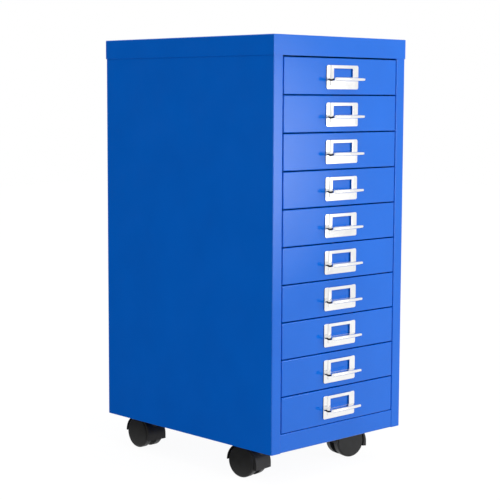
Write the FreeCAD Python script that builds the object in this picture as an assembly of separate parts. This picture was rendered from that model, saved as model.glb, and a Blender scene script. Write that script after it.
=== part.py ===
# Mobile filing cabinet: ten shallow steel drawers in a folded sheet case on four twin-wheel casters.
# Millimetres. +Z is up, the drawers open towards -Y, and the casters stand on z = 0.
# The origin lies on the floor, at the middle of the cabinet's overall box.
import FreeCAD
import Part
import math
import os

from FreeCAD import Vector

# Case
body_width = 290.0          # over the skirts of the top
body_depth = 391.0          # from the front skirt to the back skirt of the top
body_height = 617.0         # from the lower edge of the sides to the face of the top
top_skirt = 30.0            # drop of the folded edge all round the top
stile_width = 20.0          # case front beside the drawers, measured from the outer side
stile_return = 12.0         # fold of the stile into the case
back_return = 16.0          # fold of the side panel behind the back panel
plinth_height = 28.5        # rail under the last drawer
plinth_setback = 0.8        # the rail lies this far behind the stiles
plinth_return = 14.0        # folds of the rail into the case
rail_return = 9.0           # fold under the front skirt of the top
case_sheet = 0.8            # steel of the sides, back, rail and racks
top_sheet = 0.7             # steel of the top
base_sheet = 1.5            # steel of the base tray
base_skirt = 8.0            # the sides reach this far below the base tray's underside
base_flange = 6.5           # downturned edge of the base tray
fold_radius = 1.6           # outer radius of the folds in the case
seam_gap = 0.3              # free space where two folded edges pass each other

# Drawers
drawer_count = 10
front_gap = 1.5             # between two fronts, and between a front and a stile
top_gap = 2.0               # between the top rail and the first front
bottom_gap = 1.0            # between the last front and the plinth rail
front_sheet = 0.8
front_return = 10.0         # depth of the folded edges of a front
front_fold_radius = 1.5
drawer_travel = 300.0
tray_hold = 45.0            # length of the tray that stays in the case with the drawer right out
tray_sheet = 0.7
tray_fold_radius = 1.7
tray_lift = 3.5             # from the lower edge of the front to the underside of the tray
tray_height = 40.0          # from the underside of the tray to the top of its rim
inner_front_depth = 8.0     # from the drawer's face to the plate that closes the front's back

# Runner racks, and the folded runners that are welded to them
rack_front_gap = 2.0        # from the stile's fold to the rack
rack_back_gap = 1.0         # from the rack to the back panel
ledge_width = 9.0           # how far a runner's ledge stands into the case
ledge_inset = 6.0           # from the ends of the rack's web to the runners
weld_flange = 10.0          # height of the runner's flange against the rack
runner_gap = 0.15           # the rim of the tray runs this far above its ledge
rim_side_gap = 1.2          # between the rim and the runner
tray_side_gap = 1.0         # between the tray's wall and the edge of its ledge
keeper_gap = 0.8            # between the rim and the keeper above it
keeper_length = 14.0
keeper_width = 7.3          # from the rack to the keeper's free edge
stop_ear_height = 4.0       # upturned end of the rim, which meets the keeper
stop_ear_width = 5.0
stop_gap = 0.3              # left between the ear and the keeper with the drawer right out

# Pulls, each one pressing that holds a card and carries the lip
pull_width = 69.5
pull_height = 35.7
pull_drop = 1.2             # the pull's centre lies this far below the front's centre
pull_sheet = 1.2
pull_corner = 1.8
pocket_width = 52.5         # raised panel that the card slides behind
pocket_rise = 1.6
pocket_margin = 5.7         # from the lower edge of the pull to the raised panel
window_width = 42.0
window_margin = 4.7         # from the upper edge of the pull to the window
window_sill = 0.7           # from the lip up to the lower edge of the window
lip_drop = 21.3             # from the upper edge of the pull to the middle of the lip
lip_reach = 19.0            # from the drawer's face to the front of the lip
lip_sheet = 1.8
lip_bead = 3.4              # thickness of the rolled front edge
lip_inset = 0.5             # the lip is this much narrower than the pull at each side
lip_corner = 3.0
tab_width = 7.0             # tabs that hold the pull through slots in the front
tab_sheet = 1.0
tab_turn = 3.0
tab_clearance = 0.3
tab_inset = 4.2             # from the side of the pull to the middle of the tab

# Casters
wheel_diameter = 50.0
wheel_width = 12.0
hub_radius = 8.5            # boss of the hood round the axle
wheel_gap = 0.5             # between a wheel and the web of the hood
web_thickness = 11.0
axle_diameter = 6.0
axle_end_cover = 3.5        # what is left of the wheel outside the axle's end
bearing_clearance = 0.05
hood_gap = 0.8              # between the tread and the hood
hood_wall = 1.7
hood_front_radius = 30.5    # round of the hood's front, on the side of the swivel axis
hood_front_low = 15.0       # height of the lower edge of the hood's front above the floor
neck_radius = 8.5
neck_height = 7.35          # from the crown of the hood to its bearing face
caster_trail = 18.5         # from the swivel axis to the axle
caster_side_inset = 36.0    # from the side of the case to the swivel axis
caster_front_inset = 67.0   # from the front of the case to the front swivel axes
caster_back_inset = 73.0    # from the back of the case to the rear swivel axes
stem_diameter = 8.0
stem_depth = 22.0           # reach of the stem into the hood
stem_end_gap = 0.5          # under the end of the stem
stem_head_height = 5.3
stem_head_flats = 13.0      # across the flats of the stem's head
swivel_gap = 0.15           # between the neck of a hood and the base tray
tray_bore_clearance = 0.1

# Directions in which the casters trail at rest, in degrees about +Z from the way they trail towards +Y
caster_rest_angles = {"front_left": 7.5, "rear_left": 0.5, "front_right": 78.0, "rear_right": -12.0}

# Places that follow from the sizes
axle_z = wheel_diameter / 2
hood_outer_radius = wheel_diameter / 2 + hood_gap + hood_wall
hood_crown_z = axle_z + hood_outer_radius
neck_top_z = hood_crown_z + neck_height
base_under_z = neck_top_z + swivel_gap
body_bottom_z = base_under_z - base_skirt
body_top_z = body_bottom_z + body_height
pull_reach = lip_reach - top_sheet
overall_depth = body_depth + pull_reach
skirt_front_y = -overall_depth / 2 + pull_reach
skirt_back_y = overall_depth / 2
face_y = skirt_front_y + top_sheet
panel_back_y = skirt_back_y - top_sheet
side_x = body_width / 2 - top_sheet
side_inner_x = side_x - case_sheet
fold_inner = fold_radius - case_sheet
opening_x = body_width / 2 - stile_width
opening_top_z = body_top_z - top_skirt
opening_bottom_z = body_bottom_z + plinth_height
front_x = opening_x - front_gap
fronts_height = opening_top_z - opening_bottom_z - top_gap - bottom_gap
drawer_pitch = (fronts_height + front_gap) / drawer_count
front_height = drawer_pitch - front_gap
rack_x = opening_x
rim_x = rack_x - case_sheet - rim_side_gap
ledge_x = rack_x - ledge_width
tray_x = ledge_x - tray_side_gap
back_panel_y = panel_back_y - 2 * case_sheet
rack_front_y = face_y + stile_return + rack_front_gap
rack_back_y = back_panel_y - rack_back_gap
tray_length = drawer_travel + tray_hold
tray_back_y = face_y + tray_length
ear_front_y = tray_back_y - tray_sheet
keeper_back_y = ear_front_y - drawer_travel - stop_gap
runner_front_y = rack_front_y + ledge_inset
runner_back_y = rack_back_y - ledge_inset
caster_x = body_width / 2 - caster_side_inset
caster_front_y = skirt_front_y + caster_front_inset
caster_back_y = skirt_back_y - caster_back_inset
caster_places = {
    "front_left": (-caster_x, caster_front_y),
    "front_right": (caster_x, caster_front_y),
    "rear_left": (-caster_x, caster_back_y),
    "rear_right": (caster_x, caster_back_y),
}


# Building helpers
def box(x0, x1, y0, y1, z0, z1):
    """A block between two corners."""
    return Part.makeBox(x1 - x0, y1 - y0, z1 - z0, Vector(x0, y0, z0))


def rod(radius, start, end):
    """A round bar from one point to another."""
    start = Vector(*start)
    run = Vector(*end) - start
    return Part.makeCylinder(radius, run.Length, start, run)


def joined(first, *others):
    """The pieces as one solid, with the seams between flush faces removed."""
    return first.fuse(list(others)).removeSplitter()


def mirrored(shape):
    """The same piece for the other side of the cabinet."""
    return shape.mirror(Vector(0, 0, 0), Vector(1, 0, 0))


def edges_where(shape, test):
    """The edges whose middle passes the test, which is given its x, y and z."""
    found = []
    for edge in shape.Edges:
        middle = edge.valueAt((edge.FirstParameter + edge.LastParameter) / 2)
        if test(middle.x, middle.y, middle.z):
            found.append(edge)
    return found


def near(value, target):
    return abs(value - target) < 0.01


def folded_outline(corners, sheet, inner_radius):
    """A closed outline of bent sheet in the XY plane. The corners lie on the middle of the sheet."""
    middle_radius = inner_radius + sheet / 2
    points = [Vector(x, y, 0) for x, y in corners]
    sides = {1: [], -1: []}
    for side, edges in sides.items():
        start = points[0]
        for i in range(1, len(points)):
            along = (points[i] - points[i - 1]).normalize()
            left = Vector(-along.y, along.x, 0) * (side * sheet / 2)
            if i == len(points) - 1:
                edges.append(Part.makeLine(start + left, points[i] + left))
                break
            onward = (points[i + 1] - points[i]).normalize()
            turn = math.atan2(along.cross(onward).z, along.dot(onward))
            setback = middle_radius * math.tan(abs(turn) / 2)
            end = points[i] - along * setback
            next_left = Vector(-onward.y, onward.x, 0) * (side * sheet / 2)
            next_start = points[i] + onward * setback
            bisector = (onward - along).normalize()
            centre = points[i] + bisector * (middle_radius / math.cos(turn / 2))
            radius = (end + left - centre).Length
            edges.append(Part.makeLine(start + left, end + left))
            middle = centre - bisector * radius
            edges.append(Part.Arc(end + left, middle, next_start + next_left).toShape())
            start = next_start
    ends = []
    for end in (0, -1):
        ends.append(Part.makeLine(sides[1][end].Vertexes[end].Point, sides[-1][end].Vertexes[end].Point))
    return Part.Wire(Part.__sortEdges__(sides[1] + sides[-1] + ends))


def folded_in_plan(corners, sheet, inner_radius, z0, z1):
    """Bent sheet whose folds run upright."""
    face = Part.Face(folded_outline(corners, sheet, inner_radius))
    face.translate(Vector(0, 0, z0))
    return face.extrude(Vector(0, 0, z1 - z0))


def folded_across(corners, sheet, inner_radius, x0, x1):
    """Bent sheet whose folds run from side to side. The corners are given as (y, z)."""
    face = Part.Face(folded_outline(corners, sheet, inner_radius))
    face.rotate(Vector(0, 0, 0), Vector(1, 1, 1), 120)
    face.translate(Vector(x0, 0, 0))
    return face.extrude(Vector(x1 - x0, 0, 0))


# Case
def make_top_cap():
    """The top: a pan with a skirt on four sides, and a fold under its front skirt."""
    x = body_width / 2
    z0 = opening_top_z
    outer = box(-x, x, skirt_front_y, skirt_back_y, z0, body_top_z)
    outer = outer.makeFillet(fold_radius, edges_where(outer, lambda ex, ey, ez: near(ez, body_top_z)))
    t = top_sheet
    inner = box(-x + t, x - t, skirt_front_y + t, skirt_back_y - t, z0, body_top_z - t)
    under = box(
        -opening_x + seam_gap, opening_x - seam_gap,
        skirt_front_y + t, skirt_front_y + rail_return, z0, z0 + t,
    )
    return joined(outer.cut(inner), under)


def make_side_panel():
    """The left side: one sheet folded into the stile at the front and a flange at the back."""
    half = case_sheet / 2
    front = face_y + half
    back = panel_back_y - half
    wall = -side_x + half
    corners = [
        (-opening_x - half, face_y + stile_return),
        (-opening_x - half, front),
        (wall, front),
        (wall, back),
        (-side_x + back_return, back),
    ]
    return folded_in_plan(corners, case_sheet, fold_inner, body_bottom_z, body_top_z - top_sheet)


def make_back_panel():
    """The back: a flat sheet against the back flanges of the sides, with its top edge folded forwards."""
    half = case_sheet / 2
    y = back_panel_y + half
    z1 = body_top_z - top_sheet - half
    x = side_inner_x - fold_inner
    corners = [(y, body_bottom_z), (y, z1), (y - plinth_return, z1)]
    return folded_across(corners, case_sheet, fold_inner, -x, x)


def make_plinth_rail():
    """The rail under the last drawer, folded into the case above and below."""
    half = case_sheet / 2
    y = face_y + plinth_setback + half
    z0 = body_bottom_z + half
    z1 = opening_bottom_z - half
    inward = y + plinth_return
    corners = [(inward, z1), (y, z1), (y, z0), (inward, z0)]
    return folded_across(corners, case_sheet, fold_inner, -opening_x, opening_x)


def make_base_tray():
    """The floor of the case: a plate with downturned edges, bored for the caster stems."""
    x = side_inner_x
    y0 = face_y + max(stile_return + seam_gap, plinth_setback + plinth_return + case_sheet)
    y1 = back_panel_y
    z1 = base_under_z + base_sheet
    z0 = base_under_z - base_flange
    outer = box(-x, x, y0, y1, z0, z1)
    folds = edges_where(outer, lambda ex, ey, ez: near(ez, z1))
    outer = outer.makeFillet(base_sheet + case_sheet, folds)
    t = base_sheet
    tray = outer.cut(box(-x + t, x - t, y0 + t, y1 - t, z0, base_under_z))
    bores = []
    for cx, cy in caster_places.values():
        bores.append(rod(stem_diameter / 2 + tray_bore_clearance, (cx, cy, z0), (cx, cy, z1 + t)))
    return tray.cut(bores)


def drawer_bottom(number):
    """Height of the lower edge of a drawer's front. Number 1 is the topmost."""
    return opening_bottom_z + bottom_gap + (drawer_count - number) * drawer_pitch


def ledge_top(number):
    return drawer_bottom(number) + tray_lift + tray_height - tray_sheet - runner_gap


def make_runner_rack():
    """The left rack: an upright web, set off from the side panel by a fold at each end."""
    half = case_sheet / 2
    web = -rack_x - half
    corners = [
        (-side_inner_x, rack_front_y + half),
        (web, rack_front_y + half),
        (web, rack_back_y - half),
        (-side_inner_x, rack_back_y - half),
    ]
    z0 = base_under_z + base_sheet
    z1 = body_top_z - top_sheet - case_sheet - seam_gap
    return folded_in_plan(corners, case_sheet, fold_inner, z0, z1)


def make_runner(number):
    """A left runner: a ledge folded from a flange, and a keeper folded over the rim near the front."""
    t = case_sheet
    wall = -rack_x
    top = ledge_top(number)
    keeper_z = top + runner_gap + tray_sheet + keeper_gap
    keeper_front_y = keeper_back_y - keeper_length
    ledge = box(wall, -ledge_x, runner_front_y, runner_back_y, top - t, top)
    flange = box(wall, wall + t, keeper_back_y, runner_back_y, top - weld_flange, top)
    keeper_wall = box(wall, wall + t, keeper_front_y, keeper_back_y, top - t, keeper_z + t)
    keeper = box(wall, wall + keeper_width, keeper_front_y, keeper_back_y, keeper_z, keeper_z + t)
    return joined(ledge, flange, keeper_wall, keeper)


def make_runners():
    """The left runners, one for each drawer, as one node of separate solids."""
    return Part.makeCompound([make_runner(number) for number in range(1, drawer_count + 1)])


# Drawers
def pull_centre(number):
    return drawer_bottom(number) + front_height / 2 - pull_drop


def tab_places():
    """Middle of each tab of a pull, from side to side."""
    x = pull_width / 2 - tab_inset
    return (-x, x)


def make_drawer_front(number):
    """A drawer's face: a pan with folded edges, slotted for the tabs of its pull."""
    z0 = drawer_bottom(number)
    z1 = z0 + front_height
    y1 = face_y + front_return
    outer = box(-front_x, front_x, face_y, y1, z0, z1)
    folds = edges_where(outer, lambda ex, ey, ez: near(ey, face_y))
    outer = outer.makeFillet(front_fold_radius, folds)
    t = front_sheet
    front = outer.cut(box(-front_x + t, front_x - t, face_y + t, y1, z0 + t, z1 - t))
    z = pull_centre(number)
    slots = []
    for x in tab_places():
        w = tab_width / 2 + tab_clearance
        h = tab_sheet / 2 + tab_clearance
        slots.append(box(x - h, x + h, face_y, face_y + t, z - w, z + w))
    return front.cut(slots)


def make_drawer_tray(number):
    """A drawer's tray: floor, two sides with outturned rims, a back, and the plate that closes the front."""
    t = tray_sheet
    z0 = drawer_bottom(number) + tray_lift
    z1 = z0 + tray_height
    y0 = face_y + inner_front_depth
    y1 = tray_back_y
    outer = box(-tray_x, tray_x, y0, y1, z0, z1)
    folds = edges_where(outer, lambda ex, ey, ez: near(ez, z0) and near(abs(ex), tray_x))
    outer = outer.makeFillet(tray_fold_radius, folds)
    inner = box(-tray_x + t, tray_x - t, y0 + t, y1 - t, z0 + t, z1)
    folds = edges_where(inner, lambda ex, ey, ez: near(ez, z0 + t) and near(abs(ex), tray_x - t))
    inner = inner.makeFillet(tray_fold_radius - t, folds)
    cover_x = front_x - front_sheet
    front_z = drawer_bottom(number) + front_sheet
    cover = box(-cover_x, cover_x, y0, y0 + t, front_z, front_z + front_height - 2 * front_sheet)
    pieces = [cover]
    for side in (-1, 1):
        x0, x1 = sorted((side * tray_x, side * rim_x))
        pieces.append(box(x0, x1, face_y + front_return, y1, z1 - t, z1))
        x0, x1 = sorted((side * (rim_x - stop_ear_width), side * rim_x))
        pieces.append(box(x0, x1, ear_front_y, y1, z1 - t, z1 + stop_ear_height))
    return joined(outer.cut(inner), *pieces)


def lip_profile(z):
    """The lip seen from the side, as a face in the plane x = 0: a flat tongue that ends in a round bead."""
    root_y = face_y - pull_sheet / 2
    bead_y = face_y - lip_reach + lip_bead / 2
    bead_z = z + (lip_bead - lip_sheet) / 4
    low = z - lip_sheet / 2
    high = z + lip_sheet / 2
    reach = math.sqrt((lip_bead / 2) ** 2 - (low - bead_z) ** 2)
    rise = math.sqrt((lip_bead / 2) ** 2 - (high - bead_z) ** 2)
    lower = Vector(0, bead_y + reach, low)
    upper = Vector(0, bead_y + rise, high)
    tip = Vector(0, bead_y - lip_bead / 2, bead_z)
    edges = [
        Part.makeLine(Vector(0, root_y, low), lower),
        Part.Arc(lower, tip, upper).toShape(),
        Part.makeLine(upper, Vector(0, root_y, high)),
        Part.makeLine(Vector(0, root_y, high), Vector(0, root_y, low)),
    ]
    return Part.Face(Part.Wire(edges))


def make_pull(number):
    """A pull: a plate with a card window in a raised pocket, a lip, and two tabs through the front."""
    middle = pull_centre(number)
    x = pull_width / 2
    z0 = middle - pull_height / 2
    z1 = middle + pull_height / 2
    plate_y = face_y - pull_sheet
    plate = box(-x, x, plate_y, face_y, z0, z1)
    corners = edges_where(plate, lambda ex, ey, ez: near(abs(ex), x) and not near(ez, middle))
    plate = plate.makeChamfer(pull_corner, corners)
    pocket_x = pocket_width / 2
    pocket = box(-pocket_x, pocket_x, plate_y - pocket_rise, plate_y, z0 + pocket_margin, z1)
    lip_z = z1 - lip_drop
    lip_x = x - lip_inset
    tongue = lip_profile(lip_z).extrude(Vector(2 * lip_x, 0, 0))
    tongue.translate(Vector(-lip_x, 0, 0))
    corner_cut = lip_corner * math.sqrt(2)
    for side in (-1, 1):
        cutter = Part.makeBox(
            corner_cut, corner_cut, 2 * lip_bead,
            Vector(-corner_cut / 2, -corner_cut / 2, lip_z - lip_bead),
        )
        cutter.rotate(Vector(0, 0, 0), Vector(0, 0, 1), 45)
        cutter.translate(Vector(side * lip_x, face_y - lip_reach, 0))
        tongue = tongue.cut(cutter)
    slot_x = pocket_x - pull_sheet
    card_slot = box(
        -slot_x, slot_x, face_y - pocket_rise, face_y, z0 + pocket_margin + pull_sheet, z1,
    )
    window_x = window_width / 2
    window = box(
        -window_x, window_x, face_y - pull_sheet - pocket_rise, face_y,
        lip_z + lip_sheet / 2 + window_sill, z1 - window_margin,
    )
    tabs = []
    back_y = face_y + front_sheet
    for place in tab_places():
        side = 1 if place > 0 else -1
        t = tab_sheet / 2
        z_low = middle - tab_width / 2
        z_high = middle + tab_width / 2
        tabs.append(box(place - t, place + t, face_y, back_y + tab_sheet, z_low, z_high))
        inner, outer = sorted((place, place + side * tab_turn))
        tabs.append(box(inner, outer, back_y, back_y + tab_sheet, z_low, z_high))
    return joined(joined(plate, pocket).cut([card_slot, window]), tongue, *tabs)


# Casters, built with the swivel axis at x = 0, y = 0 and trailing towards +Y
def placed_caster(shape, name):
    x, y = caster_places[name]
    shape = shape.copy()
    shape.rotate(Vector(0, 0, 0), Vector(0, 0, 1), caster_rest_angles[name])
    shape.translate(Vector(x, y, 0))
    return shape


def hood_profile(x):
    """The hood seen from the side, as a face across the axle at x. Its front reaches further and lower."""
    front_y = caster_trail - hood_front_radius
    front_centre_z = hood_crown_z - hood_front_radius
    slant = math.sqrt(0.5)
    back = Vector(x, caster_trail + hood_outer_radius, axle_z)
    crown = Vector(x, caster_trail, hood_crown_z)
    front = Vector(x, front_y, front_centre_z)
    over_back = Vector(x, caster_trail + hood_outer_radius * slant, axle_z + hood_outer_radius * slant)
    over_front = Vector(
        x, caster_trail - hood_front_radius * slant, front_centre_z + hood_front_radius * slant,
    )
    lower_edge = Part.makePolygon([
        front,
        Vector(x, front_y, hood_front_low),
        Vector(x, caster_trail, axle_z - hub_radius),
        Vector(x, caster_trail, axle_z),
        back,
    ])
    arcs = [Part.Arc(back, over_back, crown).toShape(), Part.Arc(crown, over_front, front).toShape()]
    return Part.Face(Part.Wire(arcs + lower_edge.Edges))


def make_hood():
    """The hood: a web between the wheels, a shell over them, and the neck that turns on the stem."""
    half_web = web_thickness / 2
    half_width = half_web + wheel_gap + wheel_width
    shell = hood_profile(-half_width).extrude(Vector(2 * half_width, 0, 0))
    neck = rod(neck_radius, (0, 0, axle_z), (0, 0, neck_top_z))
    boss = rod(hub_radius, (-half_web, caster_trail, axle_z), (half_web, caster_trail, axle_z))
    hood = shell.fuse([neck, boss])
    wells = []
    for side in (-1, 1):
        inner = (side * half_web, caster_trail, axle_z)
        outer = (side * half_width, caster_trail, axle_z)
        wells.append(rod(wheel_diameter / 2 + hood_gap, inner, outer))
    bores = [
        rod(axle_diameter / 2, (-half_web, caster_trail, axle_z), (half_web, caster_trail, axle_z)),
        rod(stem_diameter / 2 + bearing_clearance, (0, 0, neck_top_z - stem_depth), (0, 0, neck_top_z)),
    ]
    return hood.cut(wells + bores).removeSplitter()


def make_axle():
    """The steel pin that both wheels turn on, pressed into the hood's web."""
    reach = web_thickness / 2 + wheel_gap + wheel_width - axle_end_cover - wheel_gap
    return rod(axle_diameter / 2, (-reach, caster_trail, axle_z), (reach, caster_trail, axle_z))


def make_wheel(side):
    """One wheel: a smooth disc outside, bored from the inside for its axle."""
    r = wheel_diameter / 2
    inner = web_thickness / 2 + wheel_gap
    outer = inner + wheel_width
    bore = axle_diameter / 2 + bearing_clearance
    bore_end = outer - axle_end_cover
    tread = rod(r, (side * inner, caster_trail, axle_z), (side * outer, caster_trail, axle_z))
    return tread.cut(rod(bore, (side * inner, caster_trail, axle_z), (side * bore_end, caster_trail, axle_z)))


def make_stem():
    """The caster's stem: a round pin that the hood turns on, with a hexagonal head inside the case."""
    across_corners = stem_head_flats / math.sqrt(3)
    corners = []
    for corner in range(7):
        angle = math.radians(60 * corner)
        corners.append(Vector(across_corners * math.cos(angle), across_corners * math.sin(angle), 0))
    head = Part.Face(Part.makePolygon(corners)).extrude(Vector(0, 0, stem_head_height))
    head_z = base_under_z + base_sheet
    head.translate(Vector(0, 0, head_z))
    bottom = neck_top_z - stem_depth + stem_end_gap
    return joined(head, rod(stem_diameter / 2, (0, 0, bottom), (0, 0, head_z)))


def caster_group(shape):
    """The same piece at each of the four casters, as one node of separate solids."""
    return Part.makeCompound([placed_caster(shape, name) for name in caster_places])


def build():
    """Every node by name."""
    side_panel = make_side_panel()
    rack = make_runner_rack()
    runners = make_runners()
    nodes = {
        "top_cap": make_top_cap(),
        "left_side_panel": side_panel,
        "right_side_panel": mirrored(side_panel),
        "back_panel": make_back_panel(),
        "plinth_rail": make_plinth_rail(),
        "base_tray": make_base_tray(),
        "left_runner_rack": rack,
        "right_runner_rack": mirrored(rack),
        "left_runners": runners,
        "right_runners": mirrored(runners),
        "caster_stems": caster_group(make_stem()),
    }
    for number in range(1, drawer_count + 1):
        nodes[f"drawer_front_{number:02d}"] = make_drawer_front(number)
        nodes[f"drawer_tray_{number:02d}"] = make_drawer_tray(number)
        nodes[f"drawer_pull_{number:02d}"] = make_pull(number)
    for name in caster_places:
        nodes[f"{name}_hood"] = placed_caster(make_hood(), name)
        nodes[f"{name}_axle"] = placed_caster(make_axle(), name)
        nodes[f"{name}_wheel_a"] = placed_caster(make_wheel(-1), name)
        nodes[f"{name}_wheel_b"] = placed_caster(make_wheel(1), name)
    return nodes


def main():
    os.makedirs("parts", exist_ok=True)
    for name, shape in build().items():
        shape.exportStep(f"parts/{name}.step")
        print(f"{name}: {len(shape.Solids)} solid, {shape.Volume:.0f} mm3, valid {shape.isValid()}")


main()
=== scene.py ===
# %% [markdown]
# A mobile filing cabinet, dressed in Blender
#
# The cabinet arrives as a set of engineering solids: a folded steel case, ten drawers, their plated pulls
# and four twin-wheel casters. They are already the right size and in the right place. This lesson gives them
# finishes, rounds the folds and moulded edges that catch the light, and sets up a small studio round them.
# Everything is in metres, with +Z up and the drawers facing -Y.

# %% Load the solids
import math

import bmesh
import bpy
from mathutils import Matrix, Vector


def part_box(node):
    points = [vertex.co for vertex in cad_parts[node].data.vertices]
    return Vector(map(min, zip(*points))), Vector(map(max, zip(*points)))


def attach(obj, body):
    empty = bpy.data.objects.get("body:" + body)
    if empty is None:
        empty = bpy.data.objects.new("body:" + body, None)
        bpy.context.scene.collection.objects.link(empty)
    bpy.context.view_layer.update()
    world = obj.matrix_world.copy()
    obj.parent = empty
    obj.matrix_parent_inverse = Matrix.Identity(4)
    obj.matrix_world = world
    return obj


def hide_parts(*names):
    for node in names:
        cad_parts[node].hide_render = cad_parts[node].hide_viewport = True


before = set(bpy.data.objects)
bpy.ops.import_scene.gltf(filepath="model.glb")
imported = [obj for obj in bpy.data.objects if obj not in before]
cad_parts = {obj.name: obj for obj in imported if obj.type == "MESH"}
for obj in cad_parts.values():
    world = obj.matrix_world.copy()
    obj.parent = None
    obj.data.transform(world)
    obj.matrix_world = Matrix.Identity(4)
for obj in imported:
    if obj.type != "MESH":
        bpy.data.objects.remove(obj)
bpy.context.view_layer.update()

# %% [markdown]
# Measure before making
#
# A size that the solids already hold is read from them, never typed again, so a change in the engineering
# model carries through. Only the sizes of details that the solids lack are written here.

# %% Places read from the solids
MM = 0.001
DRAWER_COUNT = 10
DRAWERS = [f"{number:02d}" for number in range(1, DRAWER_COUNT + 1)]
CASTERS = ["front_left", "front_right", "rear_left", "rear_right"]

cap_low, cap_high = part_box("top_cap")
case_middle_y = (cap_low.y + cap_high.y) / 2
case_bottom_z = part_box("left_side_panel")[0].z
face_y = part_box("drawer_front_01")[0].y
print("drawer face at y", round(face_y, 4), "case bottom at z", round(case_bottom_z, 4))

# %% [markdown]
# The camera
#
# The corners of the case were measured in the photograph, and one camera fits them all to a fraction of a
# pixel: a long lens from the front left, a little below the top of the case. A camera's rotation is a matrix
# whose columns are its right, up and backward directions, so it is built from a yaw, a pitch and a roll.

# %% Camera
FOCAL_PIXELS = 1404.0           # fitted focal length in a picture 500 pixels wide
PICTURE_PIXELS = 500.0
SENSOR_MM = 36.0
CAMERA_FROM_CASE = Vector((-1.565, -1.6415, 0.526))      # from the middle of the case's underside
CAMERA_YAW = math.radians(43.55)
CAMERA_PITCH = math.radians(6.20)
CAMERA_ROLL = math.radians(0.25)


def aim(yaw, pitch, roll):
    """A camera's rotation, looking along +Y at yaw 0 and downwards by the pitch."""
    forward = Vector((math.sin(yaw) * math.cos(pitch), math.cos(yaw) * math.cos(pitch), -math.sin(pitch)))
    right = Vector((math.cos(yaw), -math.sin(yaw), 0))
    up = right.cross(forward)
    rolled_right = math.cos(roll) * right + math.sin(roll) * up
    rolled_up = math.cos(roll) * up - math.sin(roll) * right
    return Matrix((rolled_right, rolled_up, -forward)).transposed()


scene = bpy.context.scene
camera = bpy.data.objects.new("camera", bpy.data.cameras.new("camera"))
scene.collection.objects.link(camera)
camera.data.sensor_width = SENSOR_MM
camera.data.lens = FOCAL_PIXELS / PICTURE_PIXELS * SENSOR_MM
camera.location = CAMERA_FROM_CASE + Vector((0, case_middle_y, case_bottom_z))
camera.rotation_euler = aim(CAMERA_YAW, CAMERA_PITCH, CAMERA_ROLL).to_euler()
scene.camera = camera
print("lens", round(camera.data.lens, 1), "mm")

# %% [markdown]
# The ground and the light from all round
#
# The picture has a plain white ground. It could be had with strong lamps, but they would bleach the cabinet
# too. So the world and the floor count as white for the camera and for what mirrors them, and the light
# that they give stays at a plain level, at which a colour renders as it is written. A small share of the
# floor is plain matt grey, which keeps a faint shadow under the casters.

# %% World and floor
WHITE = (1, 1, 1, 1)
WHITE_LEVEL = 1.0               # the strength at which a background counts as white
AMBIENT = 0.58                  # light from all round
FLOOR_SIZE = 12.0
FLOOR_GREY = 0.60
FLOOR_MATT_SHARE = 0.15         # share of the floor that is lit, and so holds a shadow
FLOOR_GLOW = 1.12               # the rest; with the lit share it comes to plain white


def seen_ray(tree):
    """1 for rays from the camera or mirrored in gloss or glass, 0 for the light that falls on things."""
    path = tree.nodes.new("ShaderNodeLightPath")
    total = path.outputs["Is Camera Ray"]
    for name in ("Is Glossy Ray", "Is Transmission Ray"):
        both = tree.nodes.new("ShaderNodeMath")
        both.operation = "MAXIMUM"
        tree.links.new(total, both.inputs[0])
        tree.links.new(path.outputs[name], both.inputs[1])
        total = both.outputs[0]
    return total


def make_world():
    """Even light for the cabinet, and white for the rays that see the world."""
    world = bpy.data.worlds.new("studio")
    world.use_nodes = True
    tree = world.node_tree
    tree.nodes.clear()
    output = tree.nodes.new("ShaderNodeOutputWorld")
    ambient = tree.nodes.new("ShaderNodeBackground")
    ambient.inputs["Color"].default_value = WHITE
    ambient.inputs["Strength"].default_value = AMBIENT
    ground = tree.nodes.new("ShaderNodeBackground")
    ground.inputs["Color"].default_value = WHITE
    ground.inputs["Strength"].default_value = WHITE_LEVEL
    mix = tree.nodes.new("ShaderNodeMixShader")
    tree.links.new(seen_ray(tree), mix.inputs[0])
    tree.links.new(ambient.outputs[0], mix.inputs[1])
    tree.links.new(ground.outputs[0], mix.inputs[2])
    tree.links.new(mix.outputs[0], output.inputs["Surface"])
    return world


def make_sheet(name, half_width, half_height):
    """A staged rectangle in its own XY plane, with an empty material tree."""
    mesh = bpy.data.meshes.new(name)
    corners = [(-half_width, -half_height), (half_width, -half_height), (half_width, half_height),
               (-half_width, half_height)]
    mesh.from_pydata([(x, y, 0) for x, y in corners], [], [(0, 1, 2, 3)])
    sheet = bpy.data.objects.new(name, mesh)
    scene.collection.objects.link(sheet)
    material = bpy.data.materials.new(name)
    material.use_nodes = True
    material.node_tree.nodes.clear()
    mesh.materials.append(material)
    return sheet, material.node_tree


def make_floor():
    """A floor that looks white and still holds a shadow."""
    floor, tree = make_sheet("floor", FLOOR_SIZE / 2, FLOOR_SIZE / 2)
    output = tree.nodes.new("ShaderNodeOutputMaterial")
    matt = tree.nodes.new("ShaderNodeBsdfDiffuse")
    matt.inputs["Color"].default_value = (FLOOR_GREY, FLOOR_GREY, FLOOR_GREY, 1)
    glow = tree.nodes.new("ShaderNodeEmission")
    glow.inputs["Strength"].default_value = FLOOR_GLOW
    share = tree.nodes.new("ShaderNodeMath")
    share.operation = "MULTIPLY"
    share.inputs[1].default_value = 1 - FLOOR_MATT_SHARE
    mix = tree.nodes.new("ShaderNodeMixShader")
    tree.links.new(seen_ray(tree), share.inputs[0])
    tree.links.new(share.outputs[0], mix.inputs[0])
    tree.links.new(matt.outputs[0], mix.inputs[1])
    tree.links.new(glow.outputs[0], mix.inputs[2])
    tree.links.new(mix.outputs[0], output.inputs["Surface"])
    return floor


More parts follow.
